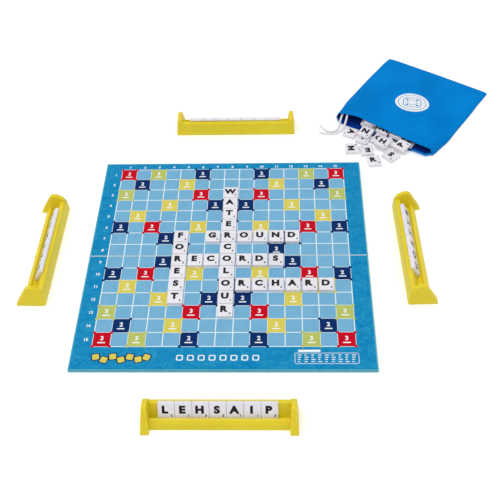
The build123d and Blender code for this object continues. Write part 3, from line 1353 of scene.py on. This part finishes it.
@dataclass
class BadgeSize:
    """The bag's round print in millimetres.

    It is drawn in along a slope, and its two inks stand over the cloth by different heights.
    Disc, rings, square and dots are in shares of its radius, but for the small hole, of the
    radius dot_inner, that each dot starts from.
    """

    at: Pair = (6.0, 78.0)
    radius: float = 25.2
    turn: float = 0.45
    slope: Pair = (-0.379, 0.925)
    drawn_in: float = 0.11
    ink: float = 0.18
    second_ink: float = 0.26
    layer: float = 0.16
    points: int = 72
    disc: Pair = (0.02, 1.0)
    disc_rings: int = 22
    rings: tuple[Pair, ...] = ((0.80, 0.835), (0.27, 0.30))
    square: Pair = (0.98, 1.06)
    square_corner: float = 0.3
    dots_out: float = 0.42
    dot: float = 0.075
    dot_inner: float = 0.1


class Bag:
    """The cloth bag: one strip of cloth doubled over at the closed end and sewn up its sides.

    A section has its y, its reach to the left and to the right, and the raised cloth's heights
    at the shares of its width.
    """

    SHARES = [-1.0, -0.93, -0.775, -0.5, -0.26, -0.08, 0.11, 0.275, 0.5, 0.74, 0.88, 0.96, 1.0]
    SECTIONS = [
        (-8.0, 77.5, 79.5, [1.6, 13.4, 17.0, 20.2, 18.4, 16.7, 14.2, 13.2, 13.9, 13.5, 13.7, 14.4, 1.6]),
        (40.0, 83.0, 85.0, [1.6, 8.0, 12.0, 15.0, 15.8, 15.6, 15.0, 14.0, 12.6, 10.6, 8.8, 6.2, 1.6]),
        (90.0, 85.0, 85.5, [1.6, 6.0, 8.8, 11.6, 13.0, 13.4, 13.2, 12.4, 10.6, 8.2, 6.4, 4.8, 1.6]),
        (140.0, 85.0, 84.5, [1.6, 4.0, 5.6, 7.2, 8.0, 8.3, 8.3, 7.9, 6.9, 5.6, 4.8, 3.9, 1.6]),
        (173.0, 83.5, 84.0, [1.6, 2.9, 3.3, 3.5, 3.6, 3.7, 3.7, 3.6, 3.5, 3.3, 3.1, 2.9, 1.6]),
    ]
    ACROSS = 110
    ALONG = 110
    LOOKUP = 241
    THREAD_SMOOTH = 50.0

    def __init__(self, size: BagSize, badge_size: BadgeSize) -> None:
        """Places the bag and sets its sections out by column.

        Args:
            size: the bag's sizes.
            badge_size: the sizes of its round print.
        """
        self.size = size
        self.badge_size = badge_size
        self.place = moved(*mm(*size.at), size.turn)
        self.stations, self.lefts, self.rights, self.heights = (
            np.array([row[column] for row in self.SECTIONS]) for column in range(4)
        )

    def _across(self, share: Points, y: Points) -> Points:
        """The x of every point of a grid.

        Args:
            share: from -1 at the left seam to 1 at the right one.
            y: how far into the bag.

        Returns:
            x in millimetres.
        """
        left, right = (
            smooth_through(self.stations, side[:, None], y.ravel()).reshape(y.shape)
            for side in (self.lefts, self.rights)
        )
        return np.where(share < 0, left, right) * share

    def surface(self, share: Points, along: Points) -> tuple[Points, Points, Points]:
        """The middle of the raised cloth.

        Args:
            share: from -1 at the left seam to 1 at the right one.
            along: y of each row.

        Returns:
            x, y and z grids in millimetres, rows along y.
        """
        rows = smooth_through(self.stations, self.heights, along)
        rise = smooth_through(np.array(self.SHARES), rows.T, share).T
        grid_share, grid_y = np.meshgrid(share, along)
        return self._across(grid_share, grid_y), grid_y, rise

    @staticmethod
    def _wrinkles(share: Points, y: Points) -> Points:
        """Height of the shallow creases: bands that run across, drawn from the seams, and puckers.

        Each is a sine, held to its own part of the cloth by a bell curve.

        Args:
            share: from -1 at the left seam to 1 at the right one.
            y: how far into the bag.

        Returns:
            The height in millimetres.
        """
        inward = 1 - np.abs(share)
        waves = 0.5 * np.sin(y / 13.0 + 1.6 * np.sin(share * 2.6) + 0.8)
        waves += 0.35 * np.sin(y / 7.4 - 3.0 * share) * bell(share, 0.8, 0.3)
        waves += 0.4 * np.sin(share * 9.0 + y / 22.0) * bell(y, 10.0, 40.0)
        waves += 0.5 * np.sin((y + 34.0 * share) / 5.2) * bell(share, -0.75, 0.3) * bell(y, 55.0, 60.0)
        waves += 0.4 * np.sin((y - 20.0 * share) / 6.4) * bell(y, 20.0, 16.0)
        waves += 0.8 * np.sin((y - 30.0 * share) / 17.0) * bell(y, 105.0, 40.0)
        pucker = 0.5 * np.sin(y / 3.1) * bell(inward, 0.0, 0.05)
        return waves * (1 - np.abs(share) ** 3) + pucker * np.clip((y + 4) / 20, 0, 1) * inward * 8

    @staticmethod
    def _loose(z: Points) -> Points:
        """How freely cloth at a height wrinkles: not at all up to 3 mm, and fully from 9 mm."""
        return np.clip((z - 3.0) / 6.0, 0.0, 1.0)

    @staticmethod
    def _stray(share: Points, y: Points) -> Points:
        """How far the sewn sides stray in and out along the bag, which fades away from them.

        Args:
            share: from -1 at the left seam to 1 at the right one.
            y: how far into the bag.

        Returns:
            What is added to x.
        """
        scallop = 0.4 * np.sin(y / 6.1 + 1.3 * np.sin(y / 17.0)) + 0.35 * np.sin(y / 19.0)
        return scallop * np.sign(share) * np.abs(share) ** 24

    @staticmethod
    def _lip_rise(share: Points, behind: Points) -> Points:
        """Height of the lower cloth's edge, which stands up steeply beside the spilled tiles.

        Args:
            share: from -1 at the left seam to 1 at the right one.
            behind: distance behind the lower cloth's front edge.

        Returns:
            The height over the flat cloth.
        """
        right = ease_in((share - 0.62) / 0.07) * (1 - ease_in((share - 0.95) / 0.05))
        left = ease_in((-share - 0.84) / 0.05) * (1 - ease_in((-share - 0.96) / 0.04))
        return (4.4 * right + 3.0 * left) * (1 - ease_in(behind / 2.4))

    def shell(self) -> bpy.types.Object:
        """The whole cloth: raised sheet and lower sheet, joined at both seams and the end.

        Returns:
            The cloth.
        """
        size = self.size
        half = size.cloth / 2
        steps = np.linspace(-1, 1, self.ACROSS + 1)
        curved, even = size.column_crowding
        share = np.sin(steps * math.pi / 2) * curved + steps * even
        rows = np.linspace(0, 1, self.ALONG + 1)
        x, y, z = self.surface(share, size.hem + (size.end - size.hem) * rows)
        shares = np.broadcast_to(share, x.shape)
        before, over = size.hem_fade
        hem_lift = size.hem_rise * (1 - ease_in((y - size.hem - size.seam + before) / over))
        top_z = z - half + (self._wrinkles(shares, y) + hem_lift) * self._loose(z)
        top = [x + self._stray(shares, y), y, np.maximum(top_z, half + size.apart)]
        lip = size.lip + size.lip_corner * np.clip((np.abs(shares) - 0.9) / 0.1, 0, 1) ** 2
        low_y = lip + (size.end - lip) * rows[:, None] ** size.row_crowding
        low_x = self._across(shares, low_y) + self._stray(shares, low_y)
        low = [low_x, low_y, half + self._lip_rise(shares, low_y - lip)]
        return self._sew(np.stack(top, axis=2), np.stack(low, axis=2))

    def _sew(self, top: Points, low: Points) -> bpy.types.Object:
        """Joins the two sheets into one object with real thickness, its inner faces a darker blue as painted
        shade inside the bag.

        Where the sheets come close to each other, the wall between them gets thinner.

        Args:
            top: the raised sheet's grid of points in millimetres, rows along y.
            low: the lower sheet's grid, of the same shape.

        Returns:
            The cloth.
        """
        size = self.size
        rows, wide, _ = top.shape
        sheet = ring_faces(rows, wide, closed=False)
        form = Form()
        form.add(top * MM, sheet, 0, self.place)
        form.add(low * MM, flipped(sheet), 0, self.place)
        count = rows * wide
        seams = []
        for left in range(0, count - wide, wide):
            right = left + wide - 1
            seams.append((count + left, left, left + wide, count + left + wide))
            seams.append((right, count + right, count + right + wide, right + wide))
        for at in range(count - wide, count - 1):
            seams.append((at, at + 1, count + at + 1, count + at))
        form.faces += flipped(seams)
        form.paints += [0] * len(seams)
        made = form.build("bag_shell", [BAG_OUTSIDE, BAG_INSIDE_SHADE], "bag", SOFT)
        flat = np.concatenate([top[..., :2], low[..., :2] * (1, -1) + (0, size.unfolded)])
        map_weave(made, flat.reshape(-1, 2) * MM)
        gap = (top[..., 2] - low[..., 2]).ravel()
        room = np.tile(np.round(np.clip(gap / size.closing, size.thinnest, 1.0), 2), 2)
        open_group = made.vertex_groups.new(name="open")
        for share_open in np.unique(room).tolist():
            open_group.add(np.flatnonzero(room == share_open).tolist(), share_open, "REPLACE")
        thick = made.modifiers.new("cloth", "SOLIDIFY")
        thick.vertex_group = "open"
        thick.thickness = size.cloth * size.wall * MM
        thick.offset = size.wall_offset
        thick.use_even_offset = False
        # the inner faces take the darker blue: painted shade inside the bag
        thick.material_offset = 1
        thick.material_offset_rim = 0
        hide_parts("bag_cloth")
        return made

    def _lay_on(self, outline: Points, proud: float) -> Points:
        """Lifts an outline in the bag's x and y onto the raised cloth.

        Args:
            outline: an n by 2 array.
            proud: how far over the cloth.

        Returns:
            An n by 3 array.
        """
        size = self.size
        share = np.linspace(-1, 1, self.LOOKUP)
        along = np.linspace(size.hem, size.end, self.LOOKUP)
        x, _, z = self.surface(share, along)
        rows = np.clip(np.searchsorted(along, outline[:, 1]) - 1, 0, len(along) - 2)
        columns = np.clip((x[rows] < outline[:, :1]).sum(axis=1) - 1, 0, len(share) - 2)
        level = z[rows, columns]
        wrinkles = self._wrinkles(share[columns], outline[:, 1]) * self._loose(level)
        sheet = level - size.cloth / 2 + wrinkles
        return np.column_stack([outline, sheet + size.cloth * size.sheet_top + proud])

    def badge(self) -> bpy.types.Object:
        """The round print on the raised cloth: a disc, two rings, a rounded square and four dots.

        Returns:
            The print.
        """
        size = self.badge_size
        radius, turn, blue = size.radius, size.turn, size.second_ink
        form = Form()
        centre = np.array(size.at)
        turns = np.linspace(0, math.tau, size.points, endpoint=False)
        way = np.stack([np.cos(turns), np.sin(turns)], axis=1)
        disc = way * radius
        self._draped(form, self._grown(centre, disc, *size.disc, size.disc_rings), 0, size.ink)
        for ring in size.rings:
            self._draped(form, self._grown(centre, disc, *ring), 1, blue)
        spun = np.array([[math.cos(turn), math.sin(turn)], [-math.sin(turn), math.cos(turn)]])
        square = rounded_ring(1.0, 1.0, size.square_corner, size.points // 4) @ spun * radius
        self._draped(form, self._grown(centre, square, *size.square), 1, blue)
        for quarter in range(4):
            angle = math.radians(45 + 90 * quarter) + turn
            spot = centre + np.array([math.cos(angle), math.sin(angle)]) * radius * size.dots_out
            self._draped(form, self._grown(spot, way[::4], size.dot_inner, size.dot * radius), 1, blue)
        made = form.build("bag_badge", [BADGE_INK, BADGE_BLUE], "bag", SOFT)
        return made

    @staticmethod
    def _grown(middle: Points, shape: Points, low: float, high: float, count: int = 3) -> list[Points]:
        """Copies of a shape about a middle, from one size to another."""
        return [middle + shape * size for size in np.linspace(low, high, count)]

    def _draped(self, form: Form, rings: list[Points], index: int, proud: float) -> None:
        """Adds a thin closed layer through the rings, drawn in along the slope, on the raised cloth.

        Args:
            form: what it is added to.
            rings: outlines of as many points each, in the bag's x and y.
            index: material index.
            proud: how far its top lies over the cloth.
        """
        size = self.badge_size
        centre, slope = np.array(size.at), np.array(size.slope)
        shorter = size.drawn_in * slope
        rings = [ring - ((ring - centre) @ slope)[:, None] * shorter for ring in rings]
        upper = [self._lay_on(ring, proud) for ring in rings]
        lower = [self._lay_on(ring, proud - size.layer) for ring in reversed(rings)]
        points = np.concatenate([*upper, *lower, upper[0]]) * MM
        form.add(points, flipped(ring_faces(2 * len(rings) + 1, len(rings[0]))), index, self.place)

    def stitches(self) -> bpy.types.Object:
        """The hem's row of stitches behind the mouth, each a small rounded bar of thread.

        Returns:
            The stitches.
        """
        size = self.size
        form = Form()
        at_y = size.hem + size.seam
        shares = np.linspace(-size.stitch_reach, size.stitch_reach, size.stitches)
        across, _, _ = self.surface(shares, np.array([at_y]))
        for at_x in across[0]:
            bar = rounded_ring(*size.stitch, 3) + np.array([at_x, at_y])
            points = np.concatenate([self._lay_on(bar, level) for level in size.stitch_levels]) * MM
            form.add(points, capped(2, len(bar)), 0, self.place)
        made = form.build("bag_hem_stitches", [BAG_THREAD], "bag", self.THREAD_SMOOTH)
        return made

    def dress(self) -> None:
        """Makes the cloth, its round print and the hem's stitching."""
        shell = self.shell()
        badge = self.badge()
        stitching = self.stitches()


@dataclass
class CordSize:
    """One end of the drawcord: its route in the bag's own x, y and z in millimetres."""

    node: str
    route: tuple[Triple, ...]
    radius: float = 1.6


CORDS = [
    CordSize(
        "drawcord_a",
        ((-68.5, 2.0, 10.1), (-66.0, -9.5, 6.8), (-60.6, -22.5, 1.6), (-64.5, -33.0, 1.6),
         (-74.0, -36.5, 1.6), (-84.5, -31.0, 1.6)),
    ),
    CordSize(
        "drawcord_b",
        ((-60.5, 2.0, 12.7), (-56.0, -9.5, 7.6), (-54.8, -22.0, 1.6), (-58.0, -32.5, 1.6),
         (-66.0, -40.0, 1.6), (-77.0, -43.0, 1.6)),
    ),
]  # fmt: skip


@dataclass
class Drawcord:
    """A soft braided cord end that comes out of the hem and lies on the table, its tip frayed.

    Sizes of the frayed strands are in millimetres: how far they reach and by how much that
    varies, their radii at root and tip, and their least height over the table.
    """

    size: CordSize
    place: Matrix
    around: int = 12
    strands: int = 9
    strand_rings: int = 6
    strand_reach: Pair = (4.2, 1.1)
    strand_radii: Pair = (0.42, 0.18)
    strand_level: float = 0.32

    def line(self) -> Points:
        """Points read along the route's NURBS line.

        Returns:
            An n by 3 array in metres.
        """
        curve = bpy.data.curves.new(f"{self.size.node}_route", "CURVE")
        curve.dimensions = "3D"
        curve.resolution_u = 14
        spline = curve.splines.new("NURBS")
        spline.points.add(len(self.size.route) - 1)
        for point, spot in zip(spline.points, self.size.route):
            point.co = (*(self.place @ Vector(mm(*spot))), 1.0)
        spline.order_u = 3
        spline.use_endpoint_u = True
        return melt(curve)[0]

    def _tube(self, form: Form, points: Points, radii: Points) -> None:
        """Adds a round tube along points, closed at both ends.

        Each ring stands square to the line: its first axis is level, across the line.

        Args:
            form: what it is added to.
            points: the tube's middle, an n by 3 array.
            radii: one radius for each of them.
        """
        steps = np.gradient(points, axis=0)
        steps /= np.linalg.norm(steps, axis=1)[:, None]
        across = np.cross(steps, np.array([0.0, 0.0, 1.0]))
        across /= np.maximum(np.linalg.norm(across, axis=1)[:, None], 1e-9)
        lifted = np.cross(across, steps)
        turns = np.linspace(0, math.tau, self.around, endpoint=False)[None, :, None]
        round_it = across[:, None, :] * np.cos(turns) + lifted[:, None, :] * np.sin(turns)
        rings = points[:, None, :] + round_it * radii[:, None, None]
        form.add(rings, flipped(capped(len(points), self.around)))

    def dress(self) -> bpy.types.Object:
        """Returns:
            The cord's tube.
        """
        size = self.size
        points = self.line()
        radius = size.radius * MM
        pinch = 1 - 0.05 * np.abs(np.sin(np.arange(len(points)) * 0.9))
        form = Form()
        self._tube(form, points, radius * pinch)
        made = form.build(f"{size.node}_braid", [CORD_FIBRE], "bag", SOFT)
        steps = np.linalg.norm(np.diff(points, axis=0), axis=1)
        self._map(made, np.concatenate([[0.0], np.cumsum(steps)]))
        tuft = self._tuft(points, radius)
        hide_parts(size.node)
        return made

    def _map(self, made: bpy.types.Object, run: Points) -> None:
        """Gives tubes a UV: once around in u, and in v the run of each ring in metres."""
        number = np.arange(len(made.data.vertices))
        map_weave(made, np.column_stack([number % self.around / self.around, run[number // self.around]]))

    def _tuft(self, points: Points, radius: float) -> bpy.types.Object:
        """The frayed end: strands that fan out from the tip, each a thin bent tube.

        Args:
            points: the cord's middle line.
            radius: the cord's radius.

        Returns:
            The tuft.
        """
        form = Form()
        way = points[-1] - points[-2]
        way /= np.linalg.norm(way)
        across = np.cross(way, np.array([0.0, 0.0, 1.0]))
        share = np.linspace(0, 1, self.strand_rings)[:, None]
        middle, vary = self.strand_reach
        for number in range(self.strands):
            fan = (number - self.strands // 2) / (self.strands // 2) * radius
            rise = 0.35 * math.sin(number * 2.3) * radius
            reach = (middle + vary * math.sin(number * 1.7)) * MM
            start = points[-1] - way * 0.6 * MM + across * fan * 0.6
            strand = start + way * reach * share + across * fan * 1.3 * share**2
            strand[:, 2] = np.maximum(start[2] + rise * share[:, 0], self.strand_level * MM)
            self._tube(form, strand, np.linspace(*self.strand_radii, len(strand)) * MM)
        made = form.build(f"{self.size.node}_frayed_tip", [CORD_FIBRE], "bag", SOFT)
        self._map(made, np.arange(self.strands * self.strand_rings) * MM)
        return made


@dataclass
class Stage:
    """Camera, light and a white floor, in metres. The camera's axes are the view's own."""

    camera_at: Triple = (0.0686, -0.7659, 0.8342)
    right: Triple = (0.99935, 0.02102, -0.02933)
    down: Triple = (-0.00466, -0.73091, -0.68246)
    ahead: Triple = (-0.03579, 0.68215, -0.73033)
    lens: float = 63.75
    sensor: float = 36.0
    clip: Pair = (0.05, 20.0)
    sky: float = 0.69
    lamp_at: Triple = (-0.35, -0.15, 2.2)
    lamp_aim: Triple = (0.0, 0.05, 0.0)
    lamp_size: float = 2.2
    lamp_watts: float = 20.5
    floor_reach: float = 4.0
    floor_under: float = 0.05 * MM
    floor_glow: float = 0.16
    floor_greys: Pair = (0.97, 0.99)

    def camera(self) -> None:
        """Places the camera with its axes as the view shows them."""
        data = bpy.data.cameras.new("camera")
        data.lens = self.lens
        data.sensor_width = self.sensor
        data.clip_start, data.clip_end = self.clip
        axes = [Vector(self.right), -Vector(self.down), -Vector(self.ahead)]
        turn = Matrix([axis.normalized() for axis in axes]).transposed()
        made = link("camera", data)
        made.matrix_world = Matrix.Translation(self.camera_at) @ turn.to_4x4()
        bpy.context.scene.camera = made

    def lights(self) -> None:
        """An even sky that the eye sees white, and one large soft lamp above, slightly in front."""
        sky = Recipe("sky", world=True)
        sky.feed("Color", paint("FFFFFF"))
        sky.feed("Strength", sky.seen() * (1.0 - self.sky) + self.sky)
        bpy.context.scene.world = sky.material
        data = bpy.data.lights.new("key", "AREA")
        data.shape = "DISK"
        data.size = self.lamp_size
        data.energy = self.lamp_watts
        lamp = link("key", data)
        lamp.location = self.lamp_at
        aim = Vector(self.lamp_aim) - Vector(self.lamp_at)
        lamp.rotation_euler = aim.to_track_quat("-Z", "Y").to_euler()

    def floor(self) -> None:
        """A plain white table top that keeps the soft shadows and shows white to the eye."""
        corners = raised(np.array(QUARTERS) * self.floor_reach, -self.floor_under)
        mesh = bpy.data.meshes.new("floor")
        mesh.from_pydata(corners.tolist(), [], [(2, 3, 0, 1)])
        recipe = Recipe("white_floor")
        tone = recipe.noise(3.0, detail=1.0).ramp(0.2, 0.8)
        glow = recipe.mix(recipe.seen() * self.floor_glow, paint("000000"), paint("FFFFFF"))
        recipe.feed("Emission Color", glow)
        recipe.feed("Emission Strength", 1.0)
        dark, light = ((grey, grey, grey, 1.0) for grey in self.floor_greys)
        mesh.materials.append(recipe.end(recipe.mix(tone, dark, light), 0.9))
        link("floor", mesh)

    def dress(self) -> None:
        """Sets up the view, the light and the floor."""
        self.camera()
        self.lights()
        self.floor()
        bpy.context.scene.view_settings.view_transform = "Standard"


class Words:
    """Which letters lie on which tiles.

    A crossed word has the column and row of its first letter and its step. A loose tile has
    its letter and its quarter turns.
    """

    CROSSED = (
        ("WATERCOLOUR", (8, 3), (0, 1)),
        ("FOREST", (5, 7), (0, 1)),
        ("GROUND", (7, 7), (1, 0)),
        ("RECORDS", (5, 9), (1, 0)),
        ("ORCHARD", (8, 11), (1, 0)),
    )
    RACKS = {"front": "LEHSAIP", "rear": "TNEDIWO", "left": "AGMEKR", "right": "UOSTYB"}
    LOOSE = ("A3", "M1", "E2", "R0", "S3", "H0", "P1", "N0")
    HEAP = "ITLEOCWNAFRUZGES"

    def crossed(self) -> dict[tuple[int, int], str]:
        """Reads the crossed words square by square.

        Returns:
            The letter of every tile on the board, by column and row.
        """
        letters: dict[tuple[int, int], str] = {}
        for word, (column, row), (right, down) in self.CROSSED:
            for number, letter in enumerate(word):
                spot = (column + right * number, row + down * number)
                if letters.setdefault(spot, letter) != letter:
                    raise ValueError(f"{word} doesn't cross at {spot}")
        return letters

    def dress(self, tiles: TileSet) -> None:
        """Lays every tile of the game.

        Args:
            tiles: what lays them.
        """
        letters = self.crossed()
        for node in sorted(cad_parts):
            if node.startswith("tile_r") and "_c" in node:
                row, column = int(node[6:8]), int(node[10:12])
                tiles.lay(node, letters[(column, row)], node)
        for side, word in self.RACKS.items():
            tiles.lay(f"rack_{side}_tiles", word, f"rack_{side}_tiles")
        for number, (letter, quarter) in enumerate(self.LOOSE, start=1):
            node = f"tile_loose_{number}"
            tiles.lay(node, letter, node, [int(quarter)])
        tiles.lay("tile_heap", self.HEAP, "bag", [(number * 7) % 4 for number in range(len(self.HEAP))])


def main() -> None:
    """Builds every piece of the game and its stage."""
    logging.basicConfig(level=logging.INFO, format="%(name)s %(message)s")
    Stage().dress()
    bag = Bag(BagSize(), BadgeSize())
    for size in CORDS:
        Drawcord(size, bag.place).dress()
    bag.dress()
    Board(BoardSize(), MarginSize()).dress()
    Words().dress(TileSet(TileSize()))
    for side in Words.RACKS:
        Rack(side).dress()


if __name__ == "__main__":
    main()
